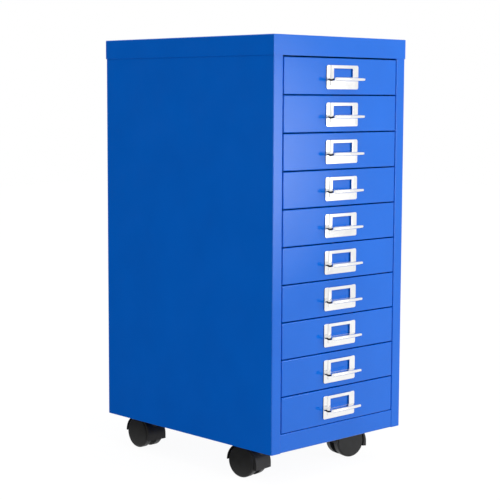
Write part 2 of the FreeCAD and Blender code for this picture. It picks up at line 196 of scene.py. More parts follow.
scene.world = make_world()
floor = make_floor()
scene.view_settings.view_transform = "Standard"
print("world at", AMBIENT, "and a", floor.name, "of", FLOOR_SIZE, "m")

# %% [markdown]
# Cards that shape the gloss
#
# Gloss shows what stands round a thing, so its look is made by what is placed there to be mirrored. A
# photographer uses a bright card, a softbox, and dark ones, called flags. Here they only show in mirror
# images and cast no light. The softbox stands to the front right, strong in its middle and fading to its
# rim: the front mirrors its fading edge, which makes the paint paler towards the upper left. A flag at the
# left is all that the left side mirrors, so that side keeps its deep blue. A second one lies on the ground,
# where the lowest part of that side would mirror the white floor.

# %% Helpers for cards
def face_towards(thing, place, target):
    """Stand a card or a lamp at a place, upright, with its +Z side away from the target."""
    thing.location = place
    thing.rotation_euler = (place - target).to_track_quat("Z", "Y").to_euler()


def only_mirrored(card):
    """Show a card in gloss and nowhere else."""
    card.visible_camera = False
    card.visible_diffuse = False
    card.visible_shadow = False


print("card helpers ready")

# %% Softbox
SOFTBOX_PLACE = Vector((0.75, -1.50, 0.42))
SOFTBOX_HALF_SIZE = Vector((0.79, 0.55))
SOFTBOX_STRENGTH = 6.3          # in its middle, over the world's white
SOFTBOX_FALL = 2.0              # how steeply it falls off from there


def make_softbox():
    """A card that shines most in its middle and fades to the world's white at its rim."""
    card, tree = make_sheet("softbox", *SOFTBOX_HALF_SIZE)
    output = tree.nodes.new("ShaderNodeOutputMaterial")
    shine = tree.nodes.new("ShaderNodeEmission")
    place = tree.nodes.new("ShaderNodeTexCoord")
    shrink = tree.nodes.new("ShaderNodeMapping")
    shrink.inputs["Scale"].default_value = (1 / SOFTBOX_HALF_SIZE.x, 1 / SOFTBOX_HALF_SIZE.y, 1)
    squared = tree.nodes.new("ShaderNodeVectorMath")
    squared.operation = "DOT_PRODUCT"
    tree.links.new(place.outputs["Object"], shrink.inputs["Vector"])
    tree.links.new(shrink.outputs["Vector"], squared.inputs[0])
    tree.links.new(shrink.outputs["Vector"], squared.inputs[1])
    fade = tree.nodes.new("ShaderNodeMapRange")
    fade.inputs["From Min"].default_value = 1.0
    fade.inputs["From Max"].default_value = 0.0
    tree.links.new(squared.outputs["Value"], fade.inputs["Value"])
    bell = tree.nodes.new("ShaderNodeMath")
    bell.operation = "POWER"
    bell.inputs[1].default_value = SOFTBOX_FALL
    tree.links.new(fade.outputs["Result"], bell.inputs[0])
    level = tree.nodes.new("ShaderNodeMath")
    level.operation = "MULTIPLY_ADD"
    level.inputs[1].default_value = SOFTBOX_STRENGTH
    level.inputs[2].default_value = WHITE_LEVEL
    tree.links.new(bell.outputs[0], level.inputs[0])
    tree.links.new(level.outputs[0], shine.inputs["Strength"])
    tree.links.new(shine.outputs[0], output.inputs["Surface"])
    face_towards(card, SOFTBOX_PLACE, Vector((SOFTBOX_PLACE.x, 0, SOFTBOX_PLACE.z)))
    only_mirrored(card)
    return card


softbox = make_softbox()
print("bright card:", softbox.name)

# %% Flags
SIDE_FLAG_PLACE = Vector((-0.50, 0.42, 0.42))
SIDE_FLAG_HALF_SIZE = Vector((0.62, 0.56))
SIDE_CARD_PLACE = Vector((-0.40, 0.40, 0.001))
SIDE_CARD_HALF_SIZE = Vector((0.29, 0.68))
FLAG_BLACK = 0.01
FLAG_FADE = 0.12                # how far in from the rim a flag thins out


def make_flag(name, place, half_size, target):
    """A black card that thins out towards its rim, so that its mirror image has no hard edge."""
    card, tree = make_sheet(name, *half_size)
    output = tree.nodes.new("ShaderNodeOutputMaterial")
    black = tree.nodes.new("ShaderNodeBsdfDiffuse")
    black.inputs["Color"].default_value = (FLAG_BLACK, FLAG_BLACK, FLAG_BLACK, 1)
    clear = tree.nodes.new("ShaderNodeBsdfTransparent")
    place_on_card = tree.nodes.new("ShaderNodeTexCoord")
    from_middle = tree.nodes.new("ShaderNodeVectorMath")
    from_middle.operation = "ABSOLUTE"
    to_rim = tree.nodes.new("ShaderNodeVectorMath")
    to_rim.operation = "SUBTRACT"
    to_rim.inputs[0].default_value = (*half_size, 0)
    apart = tree.nodes.new("ShaderNodeSeparateXYZ")
    nearest = tree.nodes.new("ShaderNodeMath")
    nearest.operation = "MINIMUM"
    cover = tree.nodes.new("ShaderNodeMapRange")
    cover.interpolation_type = "SMOOTHSTEP"
    cover.inputs["From Max"].default_value = FLAG_FADE
    mix = tree.nodes.new("ShaderNodeMixShader")
    tree.links.new(place_on_card.outputs["Object"], from_middle.inputs[0])
    tree.links.new(from_middle.outputs[0], to_rim.inputs[1])
    tree.links.new(to_rim.outputs[0], apart.inputs[0])
    tree.links.new(apart.outputs["X"], nearest.inputs[0])
    tree.links.new(apart.outputs["Y"], nearest.inputs[1])
    tree.links.new(nearest.outputs[0], cover.inputs["Value"])
    tree.links.new(cover.outputs["Result"], mix.inputs[0])
    tree.links.new(clear.outputs[0], mix.inputs[1])
    tree.links.new(black.outputs[0], mix.inputs[2])
    tree.links.new(mix.outputs[0], output.inputs["Surface"])
    face_towards(card, place, target)
    only_mirrored(card)
    return card


beside_flag = Vector((0, SIDE_FLAG_PLACE.y, SIDE_FLAG_PLACE.z))
above_card = SIDE_CARD_PLACE + Vector((0, 0, 1))
side_flag = make_flag("side_flag", SIDE_FLAG_PLACE, SIDE_FLAG_HALF_SIZE, beside_flag)
side_card = make_flag("side_card", SIDE_CARD_PLACE, SIDE_CARD_HALF_SIZE, above_card)
print("dark cards:", side_flag.name, side_card.name)

# %% [markdown]
# Two soft lamps
#
# Light that is the same from all round makes folds and mouldings look flat. A large lamp at the front right
# and a weaker one above give them a lit and a shaded side. Being large, they cast soft shadows, and they are
# kept out of the gloss, which already has its cards.

# %% Lamps
KEY_LIGHT_PLACE = Vector((0.75, -1.50, 0.75))
KEY_LIGHT_SIZE = 1.1
KEY_LIGHT_POWER = 14.0
TOP_LIGHT_PLACE = Vector((-0.4, -0.6, 2.4))
TOP_LIGHT_SIZE = 1.6
TOP_LIGHT_POWER = 10.0


def make_lamp(name, place, target, size, power):
    """A square soft lamp that lights things but doesn't show in them."""
    light = bpy.data.lights.new(name, "AREA")
    light.shape = "SQUARE"
    light.size = size
    light.energy = power
    lamp = bpy.data.objects.new(name, light)
    scene.collection.objects.link(lamp)
    face_towards(lamp, place, target)
    lamp.visible_glossy = False
    return lamp


case_centre = Vector((0, case_middle_y, (cap_high.z + case_bottom_z) / 2))
key_light = make_lamp("key_light", KEY_LIGHT_PLACE, case_centre, KEY_LIGHT_SIZE, KEY_LIGHT_POWER)
top_light = make_lamp("top_light", TOP_LIGHT_PLACE, case_centre, TOP_LIGHT_SIZE, TOP_LIGHT_POWER)
print("lamps:", key_light.name, top_light.name)

# %% [markdown]
# Finishes
#
# Each finish is a small node tree round one Principled shader. What is the same all over is set on the
# shader itself. What varies comes from noise in object coordinates, in metres, so the same pattern size fits
# every piece: a scale of 900 makes grains about a millimetre across.

# %% Helpers for finishes
NOISE_LOW = 0.3                 # most of what noise gives lies between these two
NOISE_HIGH = 0.7


def new_finish(name):
    """A material, its tree and its Principled shader."""
    material = bpy.data.materials.new(name)
    material.use_nodes = True
    tree = material.node_tree
    return material, tree, tree.nodes["Principled BSDF"]


def noise(tree, scale, detail, stretch=(1, 1, 1)):
    """Noise in object coordinates, in metres. A stretch below 1 draws the grains out along that axis."""
    place = tree.nodes.new("ShaderNodeTexCoord")
    mapping = tree.nodes.new("ShaderNodeMapping")
    mapping.inputs["Scale"].default_value = stretch
    grain = tree.nodes.new("ShaderNodeTexNoise")
    grain.inputs["Scale"].default_value = scale
    grain.inputs["Detail"].default_value = detail
    tree.links.new(place.outputs["Object"], mapping.inputs["Vector"])
    tree.links.new(mapping.outputs["Vector"], grain.inputs["Vector"])
    return grain.outputs["Fac"]


def remap(tree, value, low, high):
    """A value between two limits, read from noise."""
    node = tree.nodes.new("ShaderNodeMapRange")
    node.inputs["From Min"].default_value = NOISE_LOW
    node.inputs["From Max"].default_value = NOISE_HIGH
    node.inputs["To Min"].default_value = low
    node.inputs["To Max"].default_value = high
    tree.links.new(value, node.inputs["Value"])
    return node.outputs["Result"]


def colour_between(tree, shader, amount, first, second):
    """A base colour that goes from one tone into another by an amount."""
    mix = tree.nodes.new("ShaderNodeMix")
    mix.data_type = "RGBA"
    mix.inputs["A"].default_value = (*first, 1)
    mix.inputs["B"].default_value = (*second, 1)
    tree.links.new(amount, mix.inputs["Factor"])
    tree.links.new(mix.outputs["Result"], shader.inputs["Base Color"])


def mottle(tree, shader, first, second, scale, detail):
    """A base colour that drifts between two near tones."""
    tone = remap(tree, noise(tree, scale, detail), 0.0, 1.0)
    colour_between(tree, shader, tone, first, second)


def vary_roughness(tree, shader, pattern, limits):
    """Roughness that follows a pattern of noise between two limits."""
    tree.links.new(remap(tree, pattern, *limits), shader.inputs["Roughness"])


def add_bump(tree, shader, height, depth, strength=1.0, after=None):
    """Relief from a height, in metres. A second relief goes after the first."""
    bump = tree.nodes.new("ShaderNodeBump")
    bump.inputs["Strength"].default_value = strength
    bump.inputs["Distance"].default_value = depth
    tree.links.new(height, bump.inputs["Height"])
    if after is not None:
        tree.links.new(after.outputs["Normal"], bump.inputs["Normal"])
    tree.links.new(bump.outputs["Normal"], shader.inputs["Normal"])
    return bump


print("finish helpers ready")

# %% [markdown]
# Blue powder coat
#
# Powder coat is baked plastic on steel: an even colour, a soft gloss, and the fine dimples called orange
# peel. The sheet under it is never quite flat either, so a second, much longer relief bends the reflections
# a little. The gloss varies slightly where hands and cloths have been.

# %% Blue powder coat
PAINT_BLUE = (0.0010, 0.156, 0.76)
PAINT_BLUE_DEEP = (0.0009, 0.146, 0.72)
PAINT_TONE_SCALE = 14.0
PAINT_SPECULAR = 0.36
PAINT_ROUGHNESS = (0.08, 0.13)
SMUDGE_SCALE = 22.0
SHEET_WAVE_SCALE = 9.0
SHEET_WAVE_DEPTH = 0.35 * MM
PEEL_SCALE = 700.0
PEEL_DEPTH = 0.012 * MM


def make_powder_coat(name):
    material, tree, shader = new_finish(name)
    shader.inputs["Specular IOR Level"].default_value = PAINT_SPECULAR
    mottle(tree, shader, PAINT_BLUE, PAINT_BLUE_DEEP, PAINT_TONE_SCALE, detail=3.0)
    vary_roughness(tree, shader, noise(tree, SMUDGE_SCALE, detail=4.0), PAINT_ROUGHNESS)
    wave = add_bump(tree, shader, noise(tree, SHEET_WAVE_SCALE, detail=1.0), SHEET_WAVE_DEPTH)
    add_bump(tree, shader, noise(tree, PEEL_SCALE, detail=1.0), PEEL_DEPTH, after=wave)
    return material


case_paint = make_powder_coat("case_paint")
drawer_paint = make_powder_coat("drawer_paint")
print("paint:", case_paint.name, drawer_paint.name)

# %% [markdown]
# Plated pulls
#
# Bright plating is a mirror with a faint haze. Pressed steel keeps a slight waviness under the plating, so
# the mirror image wanders a little instead of being glass-flat. The sideways faces at the ends of the lip and
# round the rim of the plate show as short dark lines beside all that brightness: shadow, and dark
# surroundings in the mirror. They get painted shade, a finish of their own that is dark, dull and grained.

# %% Chrome
CHROME_TONES = ((0.90, 0.90, 0.89), (0.84, 0.84, 0.85))
CHROME_TONE_SCALE = 60.0
CHROME_ROUGHNESS = (0.03, 0.07)
CHROME_HAZE_SCALE = 160.0
CHROME_WAVE_SCALE = 120.0
CHROME_WAVE_DEPTH = 0.015 * MM


def make_chrome():
    material, tree, shader = new_finish("chrome")
    shader.inputs["Metallic"].default_value = 1.0
    vary_roughness(tree, shader, noise(tree, CHROME_HAZE_SCALE, detail=3.0), CHROME_ROUGHNESS)
    mottle(tree, shader, *CHROME_TONES, CHROME_TONE_SCALE, detail=2.0)
    add_bump(tree, shader, noise(tree, CHROME_WAVE_SCALE, detail=1.0), CHROME_WAVE_DEPTH)
    return material


chrome = make_chrome()
print("plating:", chrome.name)

# %% Painted shade on the edges of the pulls
EDGE_SHADE_TONES = ((0.012, 0.012, 0.014), (0.03, 0.03, 0.034))
EDGE_SHADE_METALLIC = 0.6             # part metal; the dark is painted shade
EDGE_SHADE_ROUGHNESS = (0.5, 0.7)
EDGE_SHADE_GRAIN_SCALE = 1500.0
EDGE_SHADE_GRAIN_STRETCH = (1, 1, 0.2)


# Painted shade: a dark, dull, grained finish for the sideways edges of the pulls, in place of their shadow
# and the dark surroundings they mirror.
def make_painted_edge_shade():
    material, tree, shader = new_finish("painted_edge_shade")
    shader.inputs["Metallic"].default_value = EDGE_SHADE_METALLIC
    grain = noise(tree, EDGE_SHADE_GRAIN_SCALE, detail=2.0, stretch=EDGE_SHADE_GRAIN_STRETCH)
    colour_between(tree, shader, grain, *EDGE_SHADE_TONES)
    vary_roughness(tree, shader, grain, EDGE_SHADE_ROUGHNESS)
    return material


painted_edge_shade = make_painted_edge_shade()
print("cut ends:", painted_edge_shade.name)

# %% [markdown]
# Black nylon
#
# The caster hoods and wheels are moulded nylon. The mould leaves a very fine spark-eroded texture, which
# reads as a satin grey sheen rather than as bumps. The wheels are a touch paler and smoother than the hoods.

# %% Moulded plastics
NYLON_SPECULAR = 0.3
NYLON_TONE_SCALE = 90.0
NYLON_SHEEN_SCALE = 45.0
NYLON_GRAIN_DEPTH = 0.02 * MM
NYLON_GRAIN_STRENGTH = 0.6


def make_nylon(name, tones, roughness, grain_scale):
    material, tree, shader = new_finish(name)
    shader.inputs["Specular IOR Level"].default_value = NYLON_SPECULAR
    mottle(tree, shader, *tones, NYLON_TONE_SCALE, detail=4.0)
    vary_roughness(tree, shader, noise(tree, NYLON_SHEEN_SCALE, detail=3.0), roughness)
    add_bump(tree, shader, noise(tree, grain_scale, detail=2.0), NYLON_GRAIN_DEPTH, NYLON_GRAIN_STRENGTH)
    return material


hood_plastic = make_nylon(
    "hood_plastic", tones=((0.016, 0.015, 0.0155), (0.022, 0.021, 0.021)), roughness=(0.38, 0.5),
    grain_scale=2600.0,
)
wheel_plastic = make_nylon(
    "wheel_plastic", tones=((0.018, 0.018, 0.0175), (0.025, 0.025, 0.024)), roughness=(0.34, 0.5),
    grain_scale=2200.0,
)
print("plastics:", hood_plastic.name, wheel_plastic.name)

# %% [markdown]
# Zinc-plated pins
#
# The axles and the caster stems are cut from drawn bar and zinc plated: a greyer, duller metal than the
# pulls, with fine lines along it. One noise, drawn out along x, gives both the lines and their relief.

# %% Plated steel
ZINC_TONES = ((0.62, 0.62, 0.60), (0.50, 0.51, 0.50))
ZINC_TONE_SCALE = 200.0
ZINC_ROUGHNESS = (0.25, 0.42)
ZINC_GRAIN_SCALE = 900.0
ZINC_GRAIN_STRETCH = (0.05, 1, 1)
ZINC_GRAIN_DEPTH = 0.01 * MM


def make_plated_steel():
    material, tree, shader = new_finish("plated_steel")
    shader.inputs["Metallic"].default_value = 1.0
    mottle(tree, shader, *ZINC_TONES, ZINC_TONE_SCALE, detail=3.0)
    grain = noise(tree, ZINC_GRAIN_SCALE, detail=2.0, stretch=ZINC_GRAIN_STRETCH)
    vary_roughness(tree, shader, grain, ZINC_ROUGHNESS)
    add_bump(tree, shader, grain, ZINC_GRAIN_DEPTH)
    return material


plated_steel = make_plated_steel()
print("steel:", plated_steel.name)

# %% [markdown]
# Solids that keep their shape
#
# The trays, racks, runners, back, base, stems and axles are right as they come. They only need a finish, and
# that is put in the material slots of their objects. Nothing about their meshes is touched.

# %% Finish the solids that stay
FINISH_OF_KEPT = {
    "left_runner_rack": case_paint, "right_runner_rack": case_paint,
    "left_runners": case_paint, "right_runners": case_paint,
    "back_panel": case_paint, "base_tray": case_paint,
    "caster_stems": plated_steel,
}
FINISH_OF_KEPT.update({f"drawer_tray_{number}": drawer_paint for number in DRAWERS})
FINISH_OF_KEPT.update({f"{name}_axle": plated_steel for name in CASTERS})
for node, material in FINISH_OF_KEPT.items():
    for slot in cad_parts[node].material_slots:
        slot.material = material
print("solids kept:", len(FINISH_OF_KEPT))

# %% [markdown]
# Softened edges
#
# Bent sheet and moulded plastic have no sharp edges: each one is a small round that draws a thin highlight.
# The quickest way to get them on a shape that is otherwise right is to copy the solid, weld its loose
# triangles, dissolve the flat ones into whole faces, and let a Bevel modifier round what is left. Each edge
# carries a weight from 0 to 1, its share of the widest round, so a thin cut edge and a thick moulded rim can
# be rounded by one modifier. Weighted normals then keep the flat faces flat.

# %% Helpers for softened copies
FLAT_ANGLE = math.radians(1.0)
SHARP_ANGLE = math.radians(28.0)
WELD_DISTANCE = 0.002 * MM


def clean_copy(node, join_flat):
    """A solid's mesh with its loose triangles welded and, where wanted, its flat ones joined."""
    work = bmesh.new()
    work.from_mesh(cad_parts[node].data)
    bmesh.ops.remove_doubles(work, verts=work.verts, dist=WELD_DISTANCE)
    if join_flat:
        bmesh.ops.dissolve_limit(
            work, angle_limit=FLAT_ANGLE, verts=work.verts, edges=work.edges, use_dissolve_boundaries=False
        )
    return work


def weigh_edges(work, round_at=None):
    """Give each sharp edge its share of the widest round: what round_at says for its middle, or all of it."""
    weights = work.edges.layers.float.new("bevel_weight_edge")
    for edge in work.edges:
        if len(edge.link_faces) == 2 and edge.calc_face_angle(0) > SHARP_ANGLE:
            middle = (edge.verts[0].co + edge.verts[1].co) / 2
            edge[weights] = round_at(middle) if round_at else 1.0


def make_piece(work, name, material):
    """A new object from bmesh work, smooth shaded, with one material."""
    mesh = bpy.data.meshes.new(name)
    work.to_mesh(mesh)
    work.free()
    mesh.materials.clear()      # this also puts every face back in the first slot
    mesh.materials.append(material)
    mesh.shade_smooth()
    piece = bpy.data.objects.new(name, mesh)
    scene.collection.objects.link(piece)
    return piece


def round_edges(piece, width, segments):
    """Rounded edges and flat faces, as two live modifiers."""
    bevel = piece.modifiers.new("round_edges", "BEVEL")
    bevel.width = width
    bevel.segments = segments
    bevel.limit_method = "WEIGHT"
    bevel.miter_outer = "MITER_ARC"
    weighted = piece.modifiers.new("flat_faces", "WEIGHTED_NORMAL")
    weighted.keep_sharp = True


def softened(node, name, material, body, width, segments, round_at=None, join_flat=True):
    """A copy of a solid with rounded edges, which stands in for that solid and rides with its body."""
    work = clean_copy(node, join_flat)
    weigh_edges(work, round_at)
    piece = make_piece(work, name, material)
    round_edges(piece, width, segments)
    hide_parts(node)
    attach(piece, body)
    return piece


print("softening helpers ready")

# %% [markdown]
# The case
#
# The cut edges of the sheet get a tiny round, as under any coat of powder. The top is a welded pan: its four
# upright corners are ground round before it is painted, so they get a wider one. The plinth rail gets a
# slightly wider round than the side panels, which makes the fine seam between them show.

# %% Case sheets
SHEET_EDGE_ROUND = 0.15 * MM
SHEET_SEGMENTS = 2
SEAM_ROUND = 0.3 * MM
CORNER_ROUND = 1.3 * MM
CORNER_SEGMENTS = 4
AT_CORNER = 0.01 * MM           # an edge this near to two outer faces is one of the upright corners


def cap_corner(middle):
    """1 at the upright outer corners of the top, and a sliver elsewhere."""
    across = min(abs(middle.x - cap_low.x), abs(middle.x - cap_high.x))
    along = min(abs(middle.y - cap_low.y), abs(middle.y - cap_high.y))
    return 1.0 if max(across, along) < AT_CORNER else SHEET_EDGE_ROUND / CORNER_ROUND


SHEET_ROUNDS = {
    "left_side_panel": SHEET_EDGE_ROUND, "right_side_panel": SHEET_EDGE_ROUND, "plinth_rail": SEAM_ROUND,
}
for node, width in SHEET_ROUNDS.items():
    sheet = softened(node, f"{node}_sheet", case_paint, "cabinet", width, SHEET_SEGMENTS)
    print(sheet.name, len(sheet.data.polygons), "faces")
top_sheet = softened(
    "top_cap", "top_sheet", case_paint, "cabinet", CORNER_ROUND, CORNER_SEGMENTS,
    round_at=cap_corner,
)
print(top_sheet.name, len(top_sheet.data.polygons), "faces")

# %% [markdown]
# Drawer fronts
#
# Each front is a shallow pan whose folds are already round. Its cut edges get the same tiny round as those
# of the case.

# %% Drawer fronts
fronts = [
    softened(
        f"drawer_front_{number}", f"drawer_face_{number}", drawer_paint, f"drawer_{number}",
        SHEET_EDGE_ROUND, SHEET_SEGMENTS, join_flat=False,
    )
    for number in DRAWERS
]
print("fronts:", len(fronts), "of", len(fronts[0].data.polygons), "faces each")

# %% [markdown]
# Shapes made by nodes
#
# A piece whose shape follows a rule can be made by a tree of geometry nodes, with its sizes as inputs. Such
# a tree is built here in code. It needs one helper for the group with its inputs, one that sets them by
# name, one for its sums, and one that turns the outcome into a plain mesh.

# %% Helpers for node groups
def new_group(name, inputs):
    """A geometry node group with the given inputs: (name, socket type, default)."""
    group = bpy.data.node_groups.new(name, "GeometryNodeTree")
    group.interface.new_socket("Geometry", in_out="OUTPUT", socket_type="NodeSocketGeometry")
    for label, kind, default in inputs:
        socket = group.interface.new_socket(label, in_out="INPUT", socket_type=kind)
        if default is not None:
            socket.default_value = default
    return group, group.nodes.new("NodeGroupInput"), group.nodes.new("NodeGroupOutput")


def set_inputs(modifier, **values):
    """Set a node group's inputs by their names, through the identifiers that Blender gives them."""
    for item in modifier.node_group.interface.items_tree:
        if item.item_type == "SOCKET" and item.in_out == "INPUT" and item.name in values:
            modifier[item.identifier] = values[item.name]


def maths(group, operation, first, second=None):
    """A Math node on values or sockets; gives back its result."""
    node = group.nodes.new("ShaderNodeMath")
    node.operation = operation
    for index, value in enumerate((first, second)):
        if value is None:
            continue
        if isinstance(value, (int, float)):
            node.inputs[index].default_value = value
        else:
            group.links.new(value, node.inputs[index])
    return node.outputs[0]


def solid_mesh(piece, name):
    """What the modifiers of a piece make, as a plain mesh; the piece itself is removed."""
    evaluated = piece.evaluated_get(bpy.context.evaluated_depsgraph_get())
    mesh = bpy.data.meshes.new_from_object(evaluated)
    mesh.name = name
    old = piece.data
    bpy.data.objects.remove(piece)
    bpy.data.meshes.remove(old)
    return mesh


print("node group helpers ready")

# %% [markdown]
# The lip of a pull
#
# The lip is what fingers hook under. It is a strip of sheet that leaves the plate level, dips a little, and
# ends in a rolled bead. Every pull has the same one, so one node group makes it, and its mesh is copied. The
# strip starts as a flat grid. One rule rounds its two front corners, and another gives it its dip. Pushed
# down by its thickness, the sheet becomes a closed block.

# %% Strip of the lip
STRIP_COLUMNS = 121
STRIP_ROWS = 25


def make_strip(group, width, edge_reach, sheet, dip, corner):
    """The dipped sheet of the lip, out to the middle of its bead."""
    link = group.links.new

    # The grid covers x from -width/2 to width/2 and runs outwards from 0 to the middle of the bead.
    grid = group.nodes.new("GeometryNodeMeshGrid")
    grid.inputs["Vertices X"].default_value = STRIP_COLUMNS
    grid.inputs["Vertices Y"].default_value = STRIP_ROWS
    link(width, grid.inputs["Size X"])
    link(edge_reach, grid.inputs["Size Y"])
    place = group.nodes.new("GeometryNodeInputPosition")
    apart = group.nodes.new("ShaderNodeSeparateXYZ")
    link(place.outputs[0], apart.inputs[0])
    out = maths(group, "SUBTRACT", maths(group, "MULTIPLY", edge_reach, 0.5), apart.outputs["Y"])
    share = maths(group, "DIVIDE", out, edge_reach)

    # The first rule: the ends of the strip stand out less towards a corner, by the arc of a circle.
    from_arc = maths(
        group, "SUBTRACT", maths(group, "ABSOLUTE", apart.outputs["X"]),
        maths(group, "SUBTRACT", maths(group, "MULTIPLY", width, 0.5), corner),
    )
    into_corner = maths(group, "MINIMUM", maths(group, "MAXIMUM", from_arc, 0.0), corner)
    arc_height = maths(group, "SQRT", maths(
        group, "MAXIMUM", 0.0,
        maths(group, "SUBTRACT", maths(group, "MULTIPLY", corner, corner),
              maths(group, "MULTIPLY", into_corner, into_corner)),
    ))
    lost = maths(group, "MULTIPLY", share, maths(group, "SUBTRACT", corner, arc_height))
    y = maths(group, "MULTIPLY", maths(group, "SUBTRACT", out, lost), -1.0)

    # The second rule: a dip like one wave of a cosine, between the plate and the bead.
    wave = maths(group, "COSINE", maths(group, "MULTIPLY", share, 2 * math.pi))
    z = maths(group, "MULTIPLY", dip, maths(group, "MULTIPLY", maths(group, "SUBTRACT", wave, 1.0), 0.5))
    joined = group.nodes.new("ShaderNodeCombineXYZ")
    for socket, value in (("X", apart.outputs["X"]), ("Y", y), ("Z", z)):
        link(value, joined.inputs[socket])
    shape = group.nodes.new("GeometryNodeSetPosition")
    link(grid.outputs["Mesh"], shape.inputs["Geometry"])
    link(joined.outputs[0], shape.inputs["Position"])

    # Thickness: the sheet is pushed down as a block, and the block's open upper side is closed by the sheet.
    thick = group.nodes.new("GeometryNodeExtrudeMesh")
    thick.mode = "FACES"
    thick.inputs["Individual"].default_value = False
    down = group.nodes.new("ShaderNodeCombineXYZ")
    down.inputs["Z"].default_value = -1.0
    link(shape.outputs["Geometry"], thick.inputs["Mesh"])
    link(down.outputs[0], thick.inputs["Offset"])
    link(sheet, thick.inputs["Offset Scale"])
    block = group.nodes.new("GeometryNodeFlipFaces")
    link(thick.outputs["Mesh"], block.inputs["Mesh"])
    centred = group.nodes.new("GeometryNodeTransform")
    half_up = group.nodes.new("ShaderNodeCombineXYZ")
    link(maths(group, "MULTIPLY", sheet, 0.5), half_up.inputs["Z"])
    strip = group.nodes.new("GeometryNodeJoinGeometry")
    link(shape.outputs["Geometry"], strip.inputs[0])
    link(block.outputs["Mesh"], strip.inputs[0])
    link(strip.outputs[0], centred.inputs["Geometry"])
    link(half_up.outputs[0], centred.inputs["Translation"])
    return centred.outputs[0]


print("strip:", STRIP_COLUMNS, "by", STRIP_ROWS, "points")

# %% [markdown]
# The rolled bead
#
# The front edge of the lip is rolled, so that it is kind to fingers. A circle swept along a path makes such
# a bead. The path has four points, and a fillet rounds the two at the corners: it follows the front edge and
# turns back by a quarter circle at each end.

# %% Bead of the lip
BEAD_SIDES = 20


def make_bead(group, width, edge_reach, bead, corner):
    """The rolled front edge of the lip."""
    link = group.links.new
    half_width = maths(group, "MULTIPLY", width, 0.5)
    front = maths(group, "MULTIPLY", edge_reach, -1.0)
    behind = maths(group, "ADD", front, corner)
    path = group.nodes.new("GeometryNodeCurvePrimitiveQuadrilateral")
    path.mode = "POINTS"
    for index, (side, depth) in enumerate(((-1, behind), (-1, front), (1, front), (1, behind)), start=1):
        point = group.nodes.new("ShaderNodeCombineXYZ")
        link(maths(group, "MULTIPLY", half_width, float(side)), point.inputs["X"])
        link(depth, point.inputs["Y"])
        link(point.outputs[0], path.inputs[f"Point {index}"])
    open_end = group.nodes.new("GeometryNodeSetSplineCyclic")
    open_end.inputs["Cyclic"].default_value = False
    fillet = group.nodes.new("GeometryNodeFilletCurve")
    fillet.inputs["Limit Radius"].default_value = True
    profile = group.nodes.new("GeometryNodeCurvePrimitiveCircle")
    profile.inputs["Resolution"].default_value = BEAD_SIDES
    sweep = group.nodes.new("GeometryNodeCurveToMesh")
    sweep.inputs["Fill Caps"].default_value = True
    link(path.outputs[0], open_end.inputs["Geometry"])
    link(open_end.outputs[0], fillet.inputs["Curve"])
    link(corner, fillet.inputs["Radius"])
    link(maths(group, "MULTIPLY", bead, 0.5), profile.inputs["Radius"])
    link(fillet.outputs[0], sweep.inputs["Curve"])
    link(profile.outputs[0], sweep.inputs["Profile Curve"])
    return sweep.outputs[0]


print("bead:", BEAD_SIDES, "sides")

# %% Lip node group
def make_lip_group():
    """A strip with a dip and a rolled front edge. x runs along it, -y outwards, and z = 0 is its middle."""
    metres = "NodeSocketFloat"
    group, given, result = new_group("pull_lip", [
        ("Width", metres, 0.07), ("Reach", metres, 0.019), ("Sheet", metres, 0.0018),
        ("Bead", metres, 0.0034), ("Dip", metres, 0.001), ("Corner", metres, 0.003),
        ("Material", "NodeSocketMaterial", None),
    ])
    link = group.links.new
    width, reach, sheet = (given.outputs[label] for label in ("Width", "Reach", "Sheet"))
    bead, dip, corner = (given.outputs[label] for label in ("Bead", "Dip", "Corner"))
    edge_reach = maths(group, "SUBTRACT", reach, maths(group, "MULTIPLY", bead, 0.5))
    strip = make_strip(group, width, edge_reach, sheet, dip, corner)
    rolled_edge = make_bead(group, width, edge_reach, bead, corner)
    everything = group.nodes.new("GeometryNodeJoinGeometry")
    real = group.nodes.new("GeometryNodeRealizeInstances")
    smooth = group.nodes.new("GeometryNodeSetShadeSmooth")
    finish = group.nodes.new("GeometryNodeSetMaterial")
    link(strip, everything.inputs[0])
    link(rolled_edge, everything.inputs[0])
    link(everything.outputs[0], real.inputs[0])
    link(real.outputs[0], smooth.inputs[0])
    link(smooth.outputs[0], finish.inputs["Geometry"])
    link(given.outputs["Material"], finish.inputs["Material"])
    link(finish.outputs[0], result.inputs[0])
    return group


lip_group = make_lip_group()
print("lip group:", len(lip_group.nodes), "nodes")

# %% [markdown]
# Measure the pulls
#
# The new lip takes the place of the one that the solid has, which is plainer. Its place and reach are read
# from the solid: the reach is the distance from the drawer's face to the tip, and its height is the height
# of the tip. All pulls are the same pressing, so one of them is measured for what they share.

# %% Places on a pull
TIP_DEPTH = 1.0 * MM            # what lies this near to the tip belongs to the bead
CLEAR_OF_PLATE = 10 * MM        # only the lip stands this far out from the drawer's face
AT_EDGE = 0.1 * MM              # what lies this near to the highest point belongs to the upper edge


def pull_points(node):
    """The points of a pull's solid."""
    return [vertex.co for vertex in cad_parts[node].data.vertices]


first_pull = pull_points("drawer_pull_01")
top_z = max(point.z for point in first_pull)
tip_y = min(point.y for point in first_pull)
pocket_y = min(point.y for point in first_pull if point.z > top_z - AT_EDGE)
half_lip = max(point.x for point in first_pull if point.y < face_y - CLEAR_OF_PLATE)
print("lip reaches", round((face_y - tip_y) / MM, 1), "mm and is", round(2 * half_lip / MM, 1), "mm wide")

# %% Make the lip once
LIP_SHEET = 2.8 * MM
LIP_BEAD = 5.6 * MM
LIP_DIP = 1.4 * MM
LIP_CORNER = 1.6 * MM

